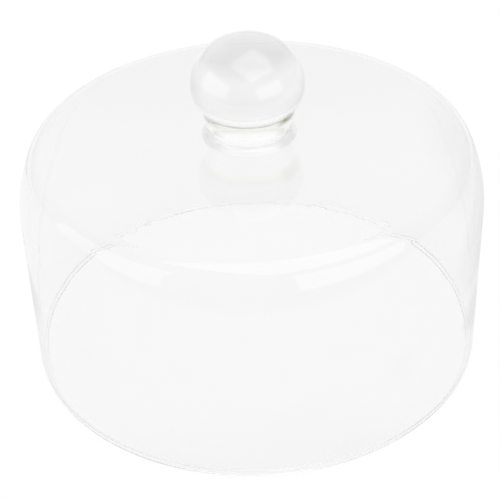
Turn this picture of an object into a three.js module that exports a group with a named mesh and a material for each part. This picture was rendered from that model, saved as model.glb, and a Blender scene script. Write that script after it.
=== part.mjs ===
// A clear glass cake dome: an upright wall, a rounded shoulder and a nearly flat crown,
// with a solid glass ball on a short neck as its knob.
// Millimetres, +Z up. The origin is the centre of the rim, on the surface that the dome
// stands on, and every piece turns about the Z axis.
import * as THREE from "three";

// Shell
const RIM_DIAMETER = 260; // outside, at the foot of the wall
const WALL = 2; // thickness of the glass above the rim
const RIM_THICKNESS = 3.6; // the rim is thicker than the wall, on the inside
const RIM_FLAT = 1; // width of the flat that stands on the table, between the rim's rounded edges
const RIM_HEIGHT = 5; // from the table up to where the rim has thinned to the wall
const WALL_HEIGHT = 92; // upright part of the wall, from the table up
const LEAN_RADIUS = 76; // slow inward curve above the upright wall, inside surface
const LEAN_TURN = 24; // degrees of that curve
const SHOULDER_RADIUS = 10; // quick turn from the leaning wall into the crown, inside surface
const CROWN_SLOPE = 4; // degrees from level where the shoulder runs into the crown
const LAND_BORDER = 1; // flat left on the crown around the neck's foot

// Neck
const FOOT_RADIUS = 26; // where the neck is fused to the crown
const FOOT_HEIGHT = 3.2; // from the crown up to the waist
const WAIST_RADIUS = 22.6; // the neck's narrowest ring
const FLARE_HEIGHT = 7.3; // from the waist up to the collar
const COLLAR_RADIUS = 24.6; // halfway up, where the neck widens towards the ball's seat
const COLLAR_HEIGHT = 7.25; // from the collar up to the seat

// Ball
const BALL_RADIUS = 31; // at the widest ring
const UNDER_RADIUS = 16; // curve from the widest ring down to the neck
const UNDER_TURN = 45; // degrees of that curve
const SIDE_RADIUS = 27; // curve from the widest ring up towards the top
const SIDE_TURN = 60; // degrees of that curve, before the flatter top

// Facets
const TURN_STEPS = 64; // around the axis
const EDGE_STEPS = 3; // along each rounded edge of the rim
const CURVE_STEPS = 5; // along every other curve of a profile

const QUARTER = THREE.MathUtils.radToDeg(Math.PI / 2); // a right angle, in degrees
const SAME_POINT = 1e-6; // profile points closer than this are one point

/** A point of a circle in a profile, at an angle in degrees measured up from level. */
function pointOn(circle, angle) {
  const turn = THREE.MathUtils.degToRad(angle);
  const reach = new THREE.Vector2(Math.cos(turn), Math.sin(turn)).multiplyScalar(circle.radius);
  return reach.add(new THREE.Vector2(circle.r, circle.z));
}

/** Points along a circle from one angle to another. */
function arc(circle, from, to, steps = CURVE_STEPS) {
  const angles = Array.from({ length: steps + 1 }, (_, step) => THREE.MathUtils.lerp(from, to, step / steps));
  return angles.map((angle) => pointOn(circle, angle));
}

/** The circle of a given radius that carries a circle on smoothly from an angle. */
function carriedOn(circle, angle, radius) {
  const join = pointOn(circle, angle);
  const centre = pointOn({ r: join.x, z: join.y, radius: -radius }, angle);
  return { r: centre.x, z: centre.y, radius };
}

/** The circle that carries a circle on smoothly from an angle and is level at the axis. */
function cappedBy(circle, angle) {
  const radius = pointOn(circle, angle).x / Math.cos(THREE.MathUtils.degToRad(angle));
  return { ...carriedOn(circle, angle, radius), r: 0 };
}

/** The same circle on the outside of a wall. */
function outside(circle) {
  return { ...circle, radius: circle.radius + WALL };
}

function glass(color) {
  const finish = { roughness: 0.03, metalness: 0, transparent: true, opacity: 0.35 };
  return new THREE.MeshStandardMaterial({ color, ...finish });
}

/** A named solid that a profile sweeps about the axis. */
function turned(name, profile, material) {
  const points = profile.filter((point, i) => i === 0 || point.distanceTo(profile[i - 1]) > SAME_POINT);
  const geometry = new THREE.LatheGeometry(points, TURN_STEPS);
  geometry.rotateX(Math.PI / 2);
  const mesh = new THREE.Mesh(geometry, material);
  mesh.name = name;
  return mesh;
}

// The shell's inside curves, each running smoothly into the next
const insideRadius = RIM_DIAMETER / 2 - WALL;
const lean = { r: insideRadius - LEAN_RADIUS, z: WALL_HEIGHT, radius: LEAN_RADIUS };
const shoulder = carriedOn(lean, LEAN_TURN, SHOULDER_RADIUS);
const crownStart = QUARTER - CROWN_SLOPE;
const crown = cappedBy(shoulder, crownStart);

// Where the knob's pieces meet: the crown's land, the ball's seat on the neck, and the ball's widest ring
const landRadius = FOOT_RADIUS + LAND_BORDER;
const landAngle = THREE.MathUtils.radToDeg(Math.acos(landRadius / outside(crown).radius));
const landHeight = pointOn(outside(crown), landAngle).y;
const seatHeight = landHeight + FOOT_HEIGHT + FLARE_HEIGHT + COLLAR_HEIGHT;
const underDrop = pointOn({ r: 0, z: 0, radius: UNDER_RADIUS }, UNDER_TURN).y;
const under = { r: BALL_RADIUS - UNDER_RADIUS, z: seatHeight + underDrop, radius: UNDER_RADIUS };
const seatRadius = pointOn(under, -UNDER_TURN).x;

/** The blown shell, with a thick fire-polished rim and a flat land on the crown for the neck. */
function domeShell() {
  const edge = (RIM_THICKNESS - RIM_FLAT) / 2;
  const mouthRadius = RIM_DIAMETER / 2 - RIM_THICKNESS;
  const innerEdge = { r: mouthRadius + edge, z: edge, radius: edge };
  const outerEdge = { r: RIM_DIAMETER / 2 - edge, z: edge, radius: edge };
  const halfway = (RIM_HEIGHT + edge) / 2;
  const thinning = new THREE.CubicBezierCurve(
    new THREE.Vector2(insideRadius, RIM_HEIGHT),
    new THREE.Vector2(insideRadius, halfway),
    new THREE.Vector2(mouthRadius, halfway),
    new THREE.Vector2(mouthRadius, edge),
  );
  const profile = [
    new THREE.Vector2(0, pointOn(crown, QUARTER).y),
    ...arc(crown, QUARTER, crownStart).slice(1),
    ...arc(shoulder, crownStart, LEAN_TURN),
    ...arc(lean, LEAN_TURN, 0),
    ...thinning.getPoints(CURVE_STEPS),
    ...arc(innerEdge, 2 * QUARTER, 3 * QUARTER, EDGE_STEPS),
    ...arc(outerEdge, 3 * QUARTER, 4 * QUARTER, EDGE_STEPS),
    ...arc(outside(lean), 0, LEAN_TURN),
    ...arc(outside(shoulder), LEAN_TURN, crownStart),
    ...arc(outside(crown), crownStart, landAngle),
    new THREE.Vector2(0, landHeight),
  ];
  return turned("dome_shell", profile, glass(0xf2f5f3));
}

/** The short neck: a spread foot on the crown's land, a waist, and a collar that widens to the ball's seat. */
function knobNeck() {
  const waistHeight = landHeight + FOOT_HEIGHT;
  const side = new THREE.SplineCurve([
    new THREE.Vector2(FOOT_RADIUS, landHeight),
    new THREE.Vector2(WAIST_RADIUS, waistHeight),
    new THREE.Vector2(COLLAR_RADIUS, waistHeight + FLARE_HEIGHT),
    new THREE.Vector2(seatRadius, seatHeight),
  ]);
  const profile = [
    new THREE.Vector2(0, landHeight),
    ...side.getPoints(2 * CURVE_STEPS),
    new THREE.Vector2(0, seatHeight),
  ];
  return turned("knob_neck", profile, glass(0xe9f0e2));
}

/** The solid ball: a flat seat on the neck, a full side and a flatter top. */
function knobBall() {
  const side = { r: BALL_RADIUS - SIDE_RADIUS, z: under.z, radius: SIDE_RADIUS };
  const top = cappedBy(side, SIDE_TURN);
  const profile = [
    new THREE.Vector2(0, seatHeight),
    new THREE.Vector2(seatRadius, seatHeight),
    ...arc(under, -UNDER_TURN, 0).slice(1),
    ...arc(side, 0, SIDE_TURN),
    ...arc(top, SIDE_TURN, QUARTER).slice(0, -1),
    new THREE.Vector2(0, pointOn(top, QUARTER).y),
  ];
  return turned("knob_ball", profile, glass(0xf0f3f1));
}

const cakeDome = new THREE.Group();
cakeDome.add(domeShell(), knobNeck(), knobBall());

export default cakeDome;
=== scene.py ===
"""A clear glass cake dome: a blown shell with a solid glass ball on a short neck as its knob."""

import math

import bmesh
import bpy
from mathutils import Matrix, Vector


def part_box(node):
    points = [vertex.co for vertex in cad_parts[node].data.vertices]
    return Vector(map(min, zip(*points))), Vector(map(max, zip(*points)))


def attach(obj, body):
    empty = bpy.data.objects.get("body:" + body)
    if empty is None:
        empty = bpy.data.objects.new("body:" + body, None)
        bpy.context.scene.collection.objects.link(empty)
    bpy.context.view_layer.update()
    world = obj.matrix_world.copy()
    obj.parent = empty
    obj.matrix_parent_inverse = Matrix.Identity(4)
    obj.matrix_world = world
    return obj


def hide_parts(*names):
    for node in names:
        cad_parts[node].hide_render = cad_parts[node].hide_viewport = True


bl_info = {
    "name": "Glass Cake Dome",
    "version": (1, 0, 0),
    "blender": (4, 5, 0),
    "location": "View3D > Sidebar > Cake Dome",
    "description": "Builds a glass cake dome with a ball knob, and a pale stage for it",
    "category": "Add Mesh",
}

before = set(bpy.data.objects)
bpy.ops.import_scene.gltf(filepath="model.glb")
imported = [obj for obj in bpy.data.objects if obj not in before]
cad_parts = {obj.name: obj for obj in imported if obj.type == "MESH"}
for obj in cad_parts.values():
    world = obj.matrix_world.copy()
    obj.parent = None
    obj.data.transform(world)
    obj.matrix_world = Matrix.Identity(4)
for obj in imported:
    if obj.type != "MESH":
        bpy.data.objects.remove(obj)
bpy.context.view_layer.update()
SHELL_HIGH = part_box("dome_shell")[1]
BALL_LOW, BALL_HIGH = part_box("knob_ball")

QUARTER = math.pi / 2
TURN_STEPS = 256  # around the axis
CURVE_STEPS = 16  # along each curve of a profile
ON_AXIS = 1e-7  # a profile point closer to the axis than this lies on it
GLASS, JOINT = 0, 1  # material slots of a piece
LIGHT_BOUNCES = 160  # enough for light that runs along inside the glass

# Sockets of a Mix node that mixes colours
MIX_FACTOR, MIX_LOW, MIX_HIGH = 0, 6, 7
MIX_RESULT = 2

# Patches in the finish: their size in metres, how ragged they are, and the levels of noise where they
# begin and where they are full
TINT_PATCHES = (0.045, 3.0, 0.5, 0.72)
SMUDGES = (0.03, 4.0, 0.55, 0.8)
FINGER_MARKS = (0.012, 4.0, 0.5, 0.8)
SMEAR_STREAKS = (0.01, 2.0, 0.1, 0.7)
RIPPLED_PATCHES = (0.05, 1.0, 0.35, 0.65)

# Ripples in the crown: their size and how ragged they are, and the heights between which they set in
RIPPLES = (0.008, 1.0)
RIPPLE_HEIGHTS = (0.1265, 0.1295)

# The tint of a patch is the plain tint to this power
PATCH_POWER = 1.4

# A greasy smear on the wall: its middle, and where it ends
SMEAR = (0.0765, -0.105, 0.0505)
SMEAR_REACH = 0.018

# Heights on the knob above the seam between the ball and the neck: where each finish begins, and
# where it is full
FOOT_BLUR = (-0.0115, -0.0145)
COLLAR_OLIVE = (-0.006, -0.003)
INNER_GLOSS = (0.0014, 0.0009)

# Painted shade at the seam: how far from it its line and its patches begin and are full, and the line's
# strength
SEAM_LINE = (0.001, 0.0004)
SEAM_THICK = (0.005, 0.002)
SEAM_LINE_STRENGTH = 0.7

# The middle and the strength of each patch of painted shade at the seam, darker on the right than on
# the left, and how far from the middle it begins and is full
SEAM_SHADE_SPOTS = ((0.0225, -0.0125, 1.0), (-0.0225, -0.0125, 0.35))
SEAM_SPOT_REACH = (0.013, 0.007)

# Painted shade on the ball: where the shade on its top begins and is full, in shares of the ball's
# height, and how much at a slant light has to meet the ball for the painted shade at its edge, from 0
# for head-on to 1 for grazing
SHADED_CAP_HEIGHTS = (0.65, 0.85)
SHADED_EDGE_SLANT = (0.45, 0.9)

FLOOR_RADIUS = 8.0
FLOOR_STEPS = 96
FLOOR_DROP = 0.0002  # keeps the floor clear of the rim

# Where the floor's tones change, from front to back, in rim radii from the middle of the dome
NEAR_ZONE = (-6.0, -3.0)
FRONT_ZONE = (-1.0, -0.5)
BACK_ZONE = (1.0, 3.0)
FAR_ZONE = (3.0, 5.0)

# Where the floor's tone changes under the rim, in metres from the rim's outside
RIM_ZONE = (-0.003, 0.002)

# The dome's soft shadows on the floor, which are longer from front to back than they are wide:
# the middle of each, how far to its side the shadow starts to fade and ends, and its tone
SHADOW_STRETCH = 2.0
SHADOWS = (
    (0.24, 0.18, 0.07, 0.12, 0.83),
    (0.197, 0.065, 0.032, 0.05, 0.81),
    (0.146, 0.0, 0.006, 0.02, 0.8),
    (-0.155, 0.03, 0.005, 0.022, 0.82),
)

# Name, place, width and height of each softbox in metres, the brightness that it adds to the room,
# and the point that they all face
SOFTBOXES = (
    ("left_softbox", (-1.84, -0.6, 0.67), 2.5, 1.3, 0.39),
    ("right_softbox", (1.37, -1.37, 0.64), 2.08, 1.08, 0.42),
    ("overhead_softbox", (0.25, -0.25, 1.5), 1.6, 1.6, 0.55),
)
SOFTBOX_AIM = (0.0, 0.0, 0.12)

# The middle of a softbox's face, in shares of its sides, and how far from there its light begins
# and is full
SOFTBOX_MIDDLE = (0.5, 0.5, 0.0)
SOFTBOX_FADE = (0.5, 0.46)


def length(name, description, default):
    return bpy.props.FloatProperty(
        name=name, description=description, default=default, precision=4, subtype="DISTANCE")


def angle(name, description, degrees):
    return bpy.props.FloatProperty(
        name=name, description=description, default=math.radians(degrees), subtype="ANGLE")


def colour(name, description, default):
    return bpy.props.FloatVectorProperty(
        name=name, description=description, default=default, min=0, max=1, subtype="COLOR")


def amount(name, description, default):
    return bpy.props.FloatProperty(name=name, description=description, default=default, precision=3)


def point(name, description, default):
    return bpy.props.FloatVectorProperty(
        name=name, description=description, default=default, subtype="XYZ", unit="LENGTH")


class ShellSizes(bpy.types.PropertyGroup):
    """Sizes of the blown shell"""
    rim_radius: length("Rim radius", "Outside radius at the foot of the wall", SHELL_HIGH.x)
    land_height: length("Land height", "Height of the flat that carries the neck", SHELL_HIGH.z)
    wall: length("Wall", "Thickness of the glass above the rim", 0.002)
    rim_thickness: length("Rim thickness", "The rim, thicker than the wall on the inside", 0.0036)
    rim_flat: length("Rim flat", "Width of the flat that stands on the table", 0.001)
    rim_height: length("Rim height", "Up to where the rim has thinned to the wall", 0.005)
    wall_height: length("Wall height", "Upright part of the wall", 0.092)
    lean_radius: length("Lean radius", "Slow inward curve above the wall, inside", 0.076)
    lean_turn: angle("Lean turn", "How far the slow curve turns", 24)
    shoulder_radius: length("Shoulder radius", "Quick turn into the crown, inside", 0.01)
    crown_slope: angle("Crown slope", "Slope where the shoulder runs into the crown", 4)
    land_border: length("Land border", "Flat left around the neck's foot", 0.001)


class KnobSizes(bpy.types.PropertyGroup):
    """Sizes of the neck and the ball"""
    foot_radius: length("Foot radius", "Where the neck is fused to the crown", 0.026)
    foot_height: length("Foot height", "From the crown up to the waist", 0.0032)
    waist_radius: length("Waist radius", "The neck's narrowest ring", 0.0226)
    flare_height: length("Flare height", "From the waist up to the collar", 0.0073)
    collar_radius: length("Collar radius", "The neck between its waist and the ball's seat", 0.0246)
    seat_height: length("Seat height", "Where the ball is fused to the neck", BALL_LOW.z)
    ball_radius: length("Ball radius", "At the widest ring", BALL_HIGH.x)
    under_radius: length("Under radius", "Curve from the widest ring down to the neck", 0.016)
    under_turn: angle("Under turn", "How far that curve turns", 45)
    side_radius: length("Side radius", "Curve from the widest ring up", 0.027)
    side_turn: angle("Side turn", "How far that curve turns before the flatter top", 60)


class GlassFinish(bpy.types.PropertyGroup):
    """Colour and surface of the glass, and painted shade on the knob"""
    shell_tint: colour("Shell tint", "Light through the shell", (0.982, 0.982, 0.982))
    smear_tint: colour("Smear tint", "Light through the smear on the wall", (0.96, 0.96, 0.96))
    neck_tint: colour("Neck tint", "Light through the neck", (0.984, 0.985, 0.981))
    collar_tint: colour("Collar tint", "Light that enters by the top of the neck", (0.88, 0.89, 0.8))
    # Painted shade at the seam under the ball, stronger in patches at its sides
    seam_shade_tint: colour("Seam tint", "Light that enters by the seam under the ball", (0.18, 0.19, 0.1))
    ball_tint: colour("Ball tint", "Light through the ball", (0.968, 0.968, 0.968))
    # Painted shade at the ball's edge
    edge_shade_tint: colour("Edge tint", "Light that enters the ball at a slant", (0.75, 0.75, 0.75))
    # Painted shade on the top of the ball
    cap_shade_tint: colour("Cap tint", "Light through the top of the ball", (0.71, 0.71, 0.71))
    index: amount("Index", "Refractive index of the shell and the ball", 1.5)
    neck_index: amount("Neck index", "Refractive index of the neck, low so that it hardly shows", 1.22)
    gloss_index: amount("Gloss index", "Refractive index of the knob's polished skin", 2.0)
    gloss_roughness: amount("Gloss roughness", "Roughness of the knob's polished skin", 0.16)
    ball_roughness: amount("Ball roughness", "Roughness of the ball between finger marks", 0.1)
    neck_roughness: amount("Neck roughness", "Roughness of the neck between finger marks", 0.14)
    foot_roughness: amount("Foot roughness", "Roughness added at the neck's foot", 0.26)
    smudge: amount("Smudge", "Roughness added where the glass has been handled", 0.03)
    ripple: length("Ripple", "Depth of the ripples in the blown crown", 0.00008)


class StageLook(bpy.types.PropertyGroup):
    """Camera, floor and lights"""
    lens: amount("Lens", "Focal length in millimetres", 98.04)
    elevation: angle("Elevation", "How far the camera looks down", 35.954)
    roll: angle("Roll", "How far the camera leans to one side", 2.171)
    distance: length("Distance", "From the camera to the point that it looks at", 0.79366)
    target: point("Target", "Point that the camera looks at", (-0.002028, 0.0, 0.054114))
    floor_white: amount("Floor white", "Colour of the floor where light falls on it", 0.9)
    floor_glow: amount("Floor glow", "Share of the floor's white that no shadow darkens", 0.95)
    table_middle: amount("Table middle", "Floor under the dome, seen by way of the glass", 0.972)
    # Painted shade: the floor under the dome is darker towards its front
    table_front: amount("Table front", "Floor under the dome's front, seen by way of the glass", 0.945)
    table_round: amount("Table round", "Floor around the dome, seen by way of the glass", 0.935)
    table_back: amount("Table back", "Floor well behind the dome, seen by way of the glass", 0.87)
    table_far: amount("Table far", "Floor farther back still, seen by way of the glass", 0.96)
    near_side: amount("Near side", "Floor well in front of the dome, seen by way of the glass", 0.76)
    daylight: amount("Daylight", "Light that falls on the floor", 1.4)
    room: amount("Room", "Brightness of the room, seen by way of the glass", 0.87)
    skirting: amount("Skirting", "Brightness of the room close to the floor", 0.8)
    skirting_top: angle("Skirting top", "Where the room has its full brightness", 12)
    backdrop: amount("Backdrop", "Brightness of the paper behind the dome", 1.0)
    backdrop_height: angle("Backdrop height", "How high the middle of that paper is", 40)
    backdrop_reach: angle("Backdrop reach", "From the middle of that paper to its edge", 45)


class Wire:
    """One socket of a material's nodes, for use in plain expressions."""

    def __init__(self, tree, socket=None):
        self.tree = tree
        self.socket = socket

    def node(self, kind, settings=None, inputs=None, out=0):
        """Any node: its settings first, then the values or wires of its sockets."""
        made = self.tree.nodes.new(kind)
        for name, value in (settings or {}).items():
            setattr(made, name, value)
        for name, value in (inputs or {}).items():
            if isinstance(value, Wire):
                self.tree.links.new(value.socket, made.inputs[name])
            else:
                made.inputs[name].default_value = value
        return Wire(self.tree, made.outputs[out] if made.outputs else None)

    def math(self, operation, *values):
        return self.node("ShaderNodeMath", {"operation": operation}, dict(enumerate(values)))

    def __add__(self, other):
        return self.math("ADD", self, other)

    def __radd__(self, other):
        return self.math("ADD", other, self)

    def __sub__(self, other):
        return self.math("SUBTRACT", self, other)

    def __rsub__(self, other):
        return self.math("SUBTRACT", other, self)

    def __mul__(self, other):
        return self.math("MULTIPLY", self, other)

    def __rmul__(self, other):
        return self.math("MULTIPLY", other, self)

    def __abs__(self):
        return self.math("ABSOLUTE", self)

    def larger(self, other):
        return self.math("MAXIMUM", self, other)

    def between(self, start, end):
        """0 up to the start, 1 from the end on, and smooth between them, upwards or downwards."""
        inputs = {"Value": self, "From Min": start, "From Max": end}
        return self.node("ShaderNodeMapRange", {"interpolation_type": "SMOOTHSTEP"}, inputs)

    def blend(self, low, high):
        """From one colour to another as this wire goes from 0 to 1."""
        inputs = {MIX_FACTOR: self, MIX_LOW: low, MIX_HIGH: high}
        return self.node("ShaderNodeMix", {"data_type": "RGBA"}, inputs, MIX_RESULT)

    def vector(self, operation, other, out="Vector"):
        """Vector maths on this wire and another vector."""
        return self.node("ShaderNodeVectorMath", {"operation": operation}, {0: self, 1: other}, out)

    def distance(self, place):
        return self.vector("DISTANCE", place, "Value")

    def part(self, axis):
        """One coordinate of a wire of positions."""
        return self.node("ShaderNodeSeparateXYZ", inputs={"Vector": self}, out=axis)

    def noise(self, size, detail):
        """Noise about size metres across, on a wire of positions."""
        inputs = {"Vector": self, "Scale": 1 / size, "Detail": detail}
        return self.node("ShaderNodeTexNoise", inputs=inputs)

    def patches(self, size, detail, start, end):
        """Soft patches: noise that counts from one level on and is full at another."""
        return self.noise(size, detail).between(start, end)


def opaque(tint):
    return (*tint, 1.0)


def grey(level):
    return (level, level, level, 1.0)


def on_circle(circle, turn):
    """A point of a profile circle, at an angle measured up from level."""
    r, z, radius = circle
    return (r + radius * math.cos(turn), z + radius * math.sin(turn))


def arc(circle, start, end, steps=CURVE_STEPS):
    return [on_circle(circle, start + (end - start) * step / steps) for step in range(steps + 1)]


def carried_on(circle, turn, radius):
    """The circle of a given radius that carries a circle on smoothly from an angle."""
    r, z = on_circle((*on_circle(circle, turn), -radius), turn)
    return (r, z, radius)


def capped_by(circle, turn):
    """The circle that carries a circle on smoothly from an angle and is level at the axis."""
    radius = on_circle(circle, turn)[0] / math.cos(turn)
    _, z, _ = carried_on(circle, turn, radius)
    return (0.0, z, radius)


def outside(circle, wall):
    """The same circle on the outside of a wall."""
    r, z, radius = circle
    return (r, z, radius + wall)


def catmull_rom(p0, p1, p2, p3, t):
    """The number between p1 and p2, in a smooth row of numbers."""
    leave = (p2 - p0) / 2
    arrive = (p3 - p1) / 2
    cubic = 2 * p1 - 2 * p2 + leave + arrive
    square = 3 * p2 - 3 * p1 - 2 * leave - arrive
    return cubic * t ** 3 + square * t ** 2 + leave * t + p1


def spline(points, steps=CURVE_STEPS):
    """A smooth curve through points."""
    padded = [points[0], *points, points[-1]]
    curve = []
    for p0, p1, p2, p3 in zip(padded, padded[1:], padded[2:], padded[3:]):
        for step in range(steps):
            curve.append(tuple(catmull_rom(*four, step / steps) for four in zip(p0, p1, p2, p3)))
    return [*curve, points[-1]]


def sideways(start, end, steps=CURVE_STEPS):
    """A cubic curve that is upright at both ends, with both of its handles halfway along."""
    across = end[0] - start[0]
    along = end[1] - start[1]
    curve = []
    for step in range(steps + 1):
        t = step / steps
        share_across = t * t * (3 - 2 * t)
        share_along = 1.5 * t * (1 - t) + t ** 3
        curve.append((start[0] + across * share_across, start[1] + along * share_along))
    return curve


def ring(mesh, profile_point):
    """The vertices that one profile point sweeps about the axis."""
    r, z = profile_point
    if r < ON_AXIS:
        return [mesh.verts.new((0.0, 0.0, z))]
    turns = [2 * math.pi * step / TURN_STEPS for step in range(TURN_STEPS)]
    return [mesh.verts.new((r * math.cos(turn), r * math.sin(turn), z)) for turn in turns]


def turned(name, runs, materials):
    """A closed piece that runs of a profile sweep about the axis. Each run has its own material slot.
    It starts where the run before it ends, and the two meet in a crease."""
    mesh = bmesh.new()
    last = ring(mesh, runs[0][1][0])
    for number, (slot, points) in enumerate(runs):
        for place, profile_point in enumerate(points[1:]):
            here = ring(mesh, profile_point)
            for step in range(TURN_STEPS):
                after = (step + 1) % TURN_STEPS
                corners = [last[step % len(last)], last[after % len(last)],
                           here[after % len(here)], here[step % len(here)]]
                face = mesh.faces.new(list(dict.fromkeys(corners)))
                face.smooth = True
                face.material_index = slot
                if number and place == 0:
                    mesh.edges.get(corners[:2]).smooth = False
            last = here
    data = bpy.data.meshes.new(name)
    mesh.to_mesh(data)
    mesh.free()
    for material in materials:
        data.materials.append(material)
    piece = bpy.data.objects.new(name, data)
    bpy.context.scene.collection.objects.link(piece)
    return piece


def placed(piece, node):
    """Put a piece in its node's place on the dome."""
    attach(piece, "root")
    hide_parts(node)


def new_material(name):
    material = bpy.data.materials.new(name)
    material.use_nodes = True
    material.node_tree.nodes.clear()
    return material, Wire(material.node_tree)


def new_glass(name):
    """A material, and the wire of places on the piece that has it."""
    material, wire = new_material(name)
    return material, wire.node("ShaderNodeTexCoord", out="Object")


def surfaced(wire, skin):
    """Finish a material with one surface, from the values and wires of its sockets."""
    surface = wire.node("ShaderNodeBsdfPrincipled", inputs=skin)
    wire.node("ShaderNodeOutputMaterial", inputs={"Surface": surface})


def entering(place):
    """1 where light meets the glass from outside, and 0 where it meets it from inside."""
    return 1.0 - place.node("ShaderNodeNewGeometry", out="Backfacing")


def patchy(place, tint):
    """A tint that is a little stronger in soft patches."""
    stronger = [part ** PATCH_POWER for part in tint]
    return place.patches(*TINT_PATCHES).blend(opaque(tint), opaque(stronger))


def joint():
    """Where two pieces are fused, light passes straight through."""
    material, wire = new_material("fused_joint")
    surfaced(wire, {"Alpha": 0.0, "Roughness": 0.0})
    return material


def shell_glass(finish):
    """Blown glass: patchy, smudged, with a smear on the wall, and rippled on the crown."""
    material, place = new_glass("shell_glass")
    smear = place.distance(SMEAR).between(SMEAR_REACH, 0.0) * place.patches(*SMEAR_STREAKS)
    on_crown = place.part("Z").between(*RIPPLE_HEIGHTS)
    ripples = place.noise(*RIPPLES) * place.patches(*RIPPLED_PATCHES) * on_crown
    surfaced(place, {
        "Base Color": smear.blend(patchy(place, finish.shell_tint), opaque(finish.smear_tint)),
        "Roughness": place.patches(*SMUDGES) * finish.smudge,
        "Normal": place.node("ShaderNodeBump", inputs={"Height": ripples, "Distance": finish.ripple}),
        "IOR": finish.index,
        "Transmission Weight": 1.0,
    })
    return material


def finger_marks(place, finish):
    """Roughness that handling adds to the knob."""
    return place.patches(*FINGER_MARKS) * finish.smudge


def seam_shade(place, rise):
    """Painted shade at the seam between the ball and the neck: a thin line all round, with patches at
    its sides.
    """
    level = place.vector("MULTIPLY", (1.0, 1.0, 0.0))
    spots = sum(level.distance((x, y, 0.0)).between(*SEAM_SPOT_REACH) * strength
                for x, y, strength in SEAM_SHADE_SPOTS)
    off_seam = abs(rise)
    line = off_seam.between(*SEAM_LINE) * SEAM_LINE_STRENGTH
    return entering(place) * line.larger(spots * off_seam.between(*SEAM_THICK))


def neck_glass(finish, seat):
    """Solid glass with a polished skin, olive at its collar, with painted shade at the seam, and
    blurred at its foot.
    """
    material, place = new_glass("neck_glass")
    rise = place.part("Z") - seat
    collar = rise.between(*COLLAR_OLIVE) * entering(place)
    plain = collar.blend(patchy(place, finish.neck_tint), opaque(finish.collar_tint))
    foot = rise.between(*FOOT_BLUR) * finish.foot_roughness
    surfaced(place, {
        # Painted shade at the seam
        "Base Color": seam_shade(place, rise).blend(plain, opaque(finish.seam_shade_tint)),
        "Roughness": finger_marks(place, finish) + finish.neck_roughness + foot,
        "IOR": finish.neck_index,
        "Transmission Weight": 1.0,
        "Coat Weight": entering(place),
        "Coat IOR": finish.gloss_index,
        "Coat Roughness": finish.gloss_roughness,
    })
    return material


def ball_glass(finish, low, high):
    """Solid glass with a polished skin, with painted shade on its top, at its edge and at the seam."""
    material, place = new_glass("ball_glass")
    rise = place.part("Z") - low
    # Painted shade darkens the top of the ball
    cap_shade = rise.between(*[share * (high - low) for share in SHADED_CAP_HEIGHTS])
    plain = cap_shade.blend(patchy(place, finish.ball_tint), opaque(finish.cap_shade_tint))
    # Painted shade darkens the ball's edge where light meets it at a slant
    slant = place.node("ShaderNodeLayerWeight", out="Facing")
    edge = slant.between(*SHADED_EDGE_SLANT) * entering(place)
    with_edge_shade = edge.blend(plain, opaque(finish.edge_shade_tint))
    surfaced(place, {
        # Painted shade at the seam
        "Base Color": seam_shade(place, rise).blend(with_edge_shade, opaque(finish.seam_shade_tint)),
        "Roughness": finger_marks(place, finish) + finish.ball_roughness,
        "IOR": finish.index,
        "Transmission Weight": 1.0,
        "Coat Weight": entering(place).larger(rise.between(*INNER_GLOSS)),
        "Coat IOR": finish.gloss_index,
        "Coat Roughness": finish.gloss_roughness,
    })
    return material


class CAKEDOME_OT_shell(bpy.types.Operator):
    """Build the blown glass shell"""
    bl_idname = "cakedome.shell"
    bl_label = "Shell"

    def execute(self, context):
        sizes = context.scene.cake_dome_shell
        knob = context.scene.cake_dome_knob
        inside = sizes.rim_radius - sizes.wall
        lean = (inside - sizes.lean_radius, sizes.wall_height, sizes.lean_radius)
        shoulder = carried_on(lean, sizes.lean_turn, sizes.shoulder_radius)
        crown_start = QUARTER - sizes.crown_slope
        crown = capped_by(shoulder, crown_start)
        edge = (sizes.rim_thickness - sizes.rim_flat) / 2
        mouth = sizes.rim_radius - sizes.rim_thickness
        inner_edge = (mouth + edge, edge, edge)
        outer_edge = (sizes.rim_radius - edge, edge, edge)
        outer_crown = outside(crown, sizes.wall)
        land_angle = math.acos((knob.foot_radius + sizes.land_border) / outer_crown[2])
        skin = [
            *arc(crown, QUARTER, crown_start)[:-1],
            *arc(shoulder, crown_start, sizes.lean_turn)[:-1],
            *arc(lean, sizes.lean_turn, 0.0),
            *sideways((inside, sizes.rim_height), (mouth, edge))[:-1],
            *arc(inner_edge, 2 * QUARTER, 3 * QUARTER),
            *arc(outer_edge, 3 * QUARTER, 4 * QUARTER),
            *arc(outside(lean, sizes.wall), 0.0, sizes.lean_turn)[:-1],
            *arc(outside(shoulder, sizes.wall), sizes.lean_turn, crown_start)[:-1],
            *arc(outer_crown, crown_start, land_angle),
            (knob.foot_radius, sizes.land_height),
        ]
        foot = [skin[-1], (0.0, sizes.land_height)]
        finish = context.scene.cake_dome_finish
        piece = turned("shell", [(GLASS, skin), (JOINT, foot)], [shell_glass(finish), joint()])
        placed(piece, "dome_shell")
        return {"FINISHED"}


class CAKEDOME_OT_neck(bpy.types.Operator):
    """Build the short neck of the knob"""
    bl_idname = "cakedome.neck"
    bl_label = "Neck"

    def execute(self, context):
        knob = context.scene.cake_dome_knob
        land = context.scene.cake_dome_shell.land_height
        waist = land + knob.foot_height
        seat_radius = knob.ball_radius - knob.under_radius * (1 - math.cos(knob.under_turn))
        side = spline([
            (knob.foot_radius, land),
            (knob.waist_radius, waist),
            (knob.collar_radius, waist + knob.flare_height),
            (seat_radius, knob.seat_height),
        ])
        runs = [
            (JOINT, [(0.0, land), side[0]]),
            (GLASS, side),
            (JOINT, [side[-1], (0.0, knob.seat_height)]),
        ]
        finish = context.scene.cake_dome_finish
        piece = turned("neck", runs, [neck_glass(finish, knob.seat_height), joint()])
        placed(piece, "knob_neck")
        return {"FINISHED"}


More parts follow.
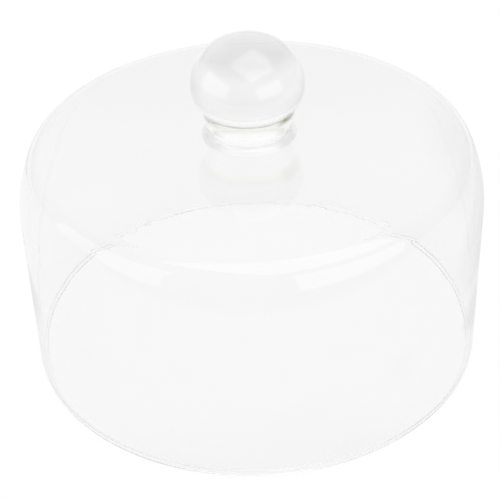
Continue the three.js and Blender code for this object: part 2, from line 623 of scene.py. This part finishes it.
class CAKEDOME_OT_ball(bpy.types.Operator):
    """Build the solid glass ball of the knob"""
    bl_idname = "cakedome.ball"
    bl_label = "Ball"

    def execute(self, context):
        knob = context.scene.cake_dome_knob
        middle = knob.seat_height + knob.under_radius * math.sin(knob.under_turn)
        under = (knob.ball_radius - knob.under_radius, middle, knob.under_radius)
        side = (knob.ball_radius - knob.side_radius, middle, knob.side_radius)
        top = capped_by(side, knob.side_turn)
        skin = [
            *arc(under, -knob.under_turn, 0.0)[:-1],
            *arc(side, 0.0, knob.side_turn)[:-1],
            *arc(top, knob.side_turn, QUARTER),
        ]
        low = skin[0][1]
        high = skin[-1][1]
        seat = [(0.0, knob.seat_height), skin[0]]
        finish = context.scene.cake_dome_finish
        piece = turned("ball", [(JOINT, seat), (GLASS, skin)], [ball_glass(finish, low, high), joint()])
        placed(piece, "knob_ball")
        return {"FINISHED"}


def light_path(wire, kind):
    return wire.node("ShaderNodeLightPath", out=f"Is {kind} Ray")


def by_glass(wire):
    """1 for what shows in the glass or through it."""
    return light_path(wire, "Glossy").larger(light_path(wire, "Transmission"))


def table_tone(place, look, rim):
    """The floor as it shows by way of the glass: tones from front to back, and painted shade and soft
    shadows.
    """
    along = place.part("Y") * (1 / rim)
    # Painted shade darkens the floor under the dome towards its front
    under = along.between(*FRONT_ZONE).blend(grey(look.table_front), grey(look.table_middle))
    behind = along.between(*BACK_ZONE).blend(grey(look.table_round), grey(look.table_back))
    far = along.between(*FAR_ZONE).blend(behind, grey(look.table_far))
    around = along.between(*NEAR_ZONE).blend(grey(look.near_side), far)
    beyond_rim = (place.distance((0.0, 0.0, 0.0)) - rim).between(*RIM_ZONE)
    tone = beyond_rim.blend(under, around)
    squeezed = place.vector("MULTIPLY", (1.0, 1 / SHADOW_STRETCH, 1.0))
    for x, y, core, edge, shade in SHADOWS:
        away = squeezed.distance((x, y / SHADOW_STRETCH, 0.0))
        tone = away.between(core, edge).blend(grey(shade), tone)
    return tone


def floor_material(look, rim):
    """White to the eye, with tones, painted shade and painted shadows by way of the glass."""
    material, wire = new_material("pale_floor")
    table = table_tone(wire.node("ShaderNodeNewGeometry", out="Position"), look, rim)
    straight = light_path(wire, "Camera")
    lit = wire.node("ShaderNodeBsdfDiffuse", inputs={"Color": grey(look.floor_white)})
    glow = wire.node("ShaderNodeEmission", inputs={"Color": straight.blend(table, grey(1.0))})
    share = straight.larger(by_glass(wire)) * look.floor_glow
    surface = wire.node("ShaderNodeMixShader", inputs={0: share, 1: lit, 2: glow})
    wire.node("ShaderNodeOutputMaterial", inputs={"Surface": surface})
    return material


class CAKEDOME_OT_stage(bpy.types.Operator):
    """Set up the floor, the lights and the camera"""
    bl_idname = "cakedome.stage"
    bl_label = "Stage"

    def execute(self, context):
        look = context.scene.cake_dome_stage
        self.make_floor(context.scene, look)
        self.make_room(context.scene, look)
        self.make_softboxes(context.scene)
        self.make_camera(context.scene, look)
        context.scene.view_settings.view_transform = "Standard"
        for kind in ("max", "transmission", "glossy", "transparent_max"):
            setattr(context.scene.cycles, f"{kind}_bounces", LIGHT_BOUNCES)
        return {"FINISHED"}

    def make_floor(self, scene, look):
        mesh = bmesh.new()
        bmesh.ops.create_circle(mesh, cap_ends=True, segments=FLOOR_STEPS, radius=FLOOR_RADIUS)
        data = bpy.data.meshes.new("floor")
        mesh.to_mesh(data)
        mesh.free()
        data.materials.append(floor_material(look, scene.cake_dome_shell.rim_radius))
        floor = bpy.data.objects.new("floor", data)
        floor.location.z = -FLOOR_DROP
        scene.collection.objects.link(floor)

    def make_room(self, scene, look):
        world = bpy.data.worlds.new("room")
        world.use_nodes = True
        world.node_tree.nodes.clear()
        wire = Wire(world.node_tree)
        place = wire.node("ShaderNodeTexCoord", out="Generated")
        risen = place.part("Z").between(0.0, math.sin(look.skirting_top))
        walls = risen.blend(grey(look.skirting), grey(look.room))
        toward = (0.0, math.cos(look.backdrop_height), math.sin(look.backdrop_height))
        facing = place.vector("DOT_PRODUCT", toward, "Value")
        paper = facing.between(math.cos(look.backdrop_reach), math.cos(look.backdrop_reach / 2))
        shown = paper.blend(walls, grey(look.backdrop))
        light = by_glass(wire).blend(grey(look.daylight), shown)
        surface = wire.node("ShaderNodeBackground", inputs={"Color": light})
        wire.node("ShaderNodeOutputWorld", inputs={"Surface": surface})
        scene.world = world

    def make_softboxes(self, scene):
        for name, place, width, height, brightness in SOFTBOXES:
            lamp = bpy.data.lights.new(name, "AREA")
            lamp.shape = "RECTANGLE"
            lamp.size = width
            lamp.size_y = height
            lamp.energy = brightness * math.pi * width * height
            lamp.use_nodes = True
            lamp.node_tree.nodes.clear()
            wire = Wire(lamp.node_tree)
            face = wire.node("ShaderNodeNewGeometry", out="Parametric")
            centred = face.vector("SUBTRACT", SOFTBOX_MIDDLE)
            off_centre = abs(centred.part("X")).larger(abs(centred.part("Y")))
            glow = off_centre.between(*SOFTBOX_FADE).blend(grey(0.0), grey(1.0))
            light = wire.node("ShaderNodeEmission", inputs={"Color": glow})
            wire.node("ShaderNodeOutputLight", inputs={"Surface": light})
            softbox = bpy.data.objects.new(name, lamp)
            toward = Vector(SOFTBOX_AIM) - Vector(place)
            softbox.rotation_euler = toward.to_track_quat("-Z", "Y").to_euler()
            softbox.location = place
            scene.collection.objects.link(softbox)

    def make_camera(self, scene, look):
        back = Vector((0.0, -math.cos(look.elevation), math.sin(look.elevation)))
        right = Vector((1.0, 0.0, 0.0))
        level = Matrix((right, back.cross(right), back)).transposed()
        axes = level @ Matrix.Rotation(-look.roll, 3, "Z")
        place = Vector(look.target) + back * look.distance
        lens = bpy.data.cameras.new("camera")
        lens.lens = look.lens
        camera = bpy.data.objects.new("camera", lens)
        camera.matrix_world = Matrix.Translation(place) @ axes.to_4x4()
        scene.collection.objects.link(camera)
        scene.camera = camera


class VIEW3D_PT_cake_dome(bpy.types.Panel):
    """Sidebar panel with the dome's pieces and their sizes"""
    bl_label = "Cake Dome"
    bl_space_type = "VIEW_3D"
    bl_region_type = "UI"
    bl_category = "Cake Dome"

    def draw(self, context):
        for group in GROUPS:
            column = self.layout.column()
            values = getattr(context.scene, group)
            for name in values.__annotations__:
                column.prop(values, name)
        for operator in OPERATORS:
            self.layout.operator(operator.bl_idname)


GROUPS = {
    "cake_dome_shell": ShellSizes,
    "cake_dome_knob": KnobSizes,
    "cake_dome_finish": GlassFinish,
    "cake_dome_stage": StageLook,
}
OPERATORS = (CAKEDOME_OT_stage, CAKEDOME_OT_shell, CAKEDOME_OT_neck, CAKEDOME_OT_ball)
CLASSES = (*GROUPS.values(), *OPERATORS, VIEW3D_PT_cake_dome)


def register():
    for kind in CLASSES:
        bpy.utils.register_class(kind)
    for name, kind in GROUPS.items():
        setattr(bpy.types.Scene, name, bpy.props.PointerProperty(type=kind))


def unregister():
    for name in GROUPS:
        delattr(bpy.types.Scene, name)
    for kind in reversed(CLASSES):
        bpy.utils.unregister_class(kind)


def main():
    register()
    bpy.ops.cakedome.stage()
    bpy.ops.cakedome.shell()
    bpy.ops.cakedome.neck()
    bpy.ops.cakedome.ball()


if __name__ == "__main__":
    main()
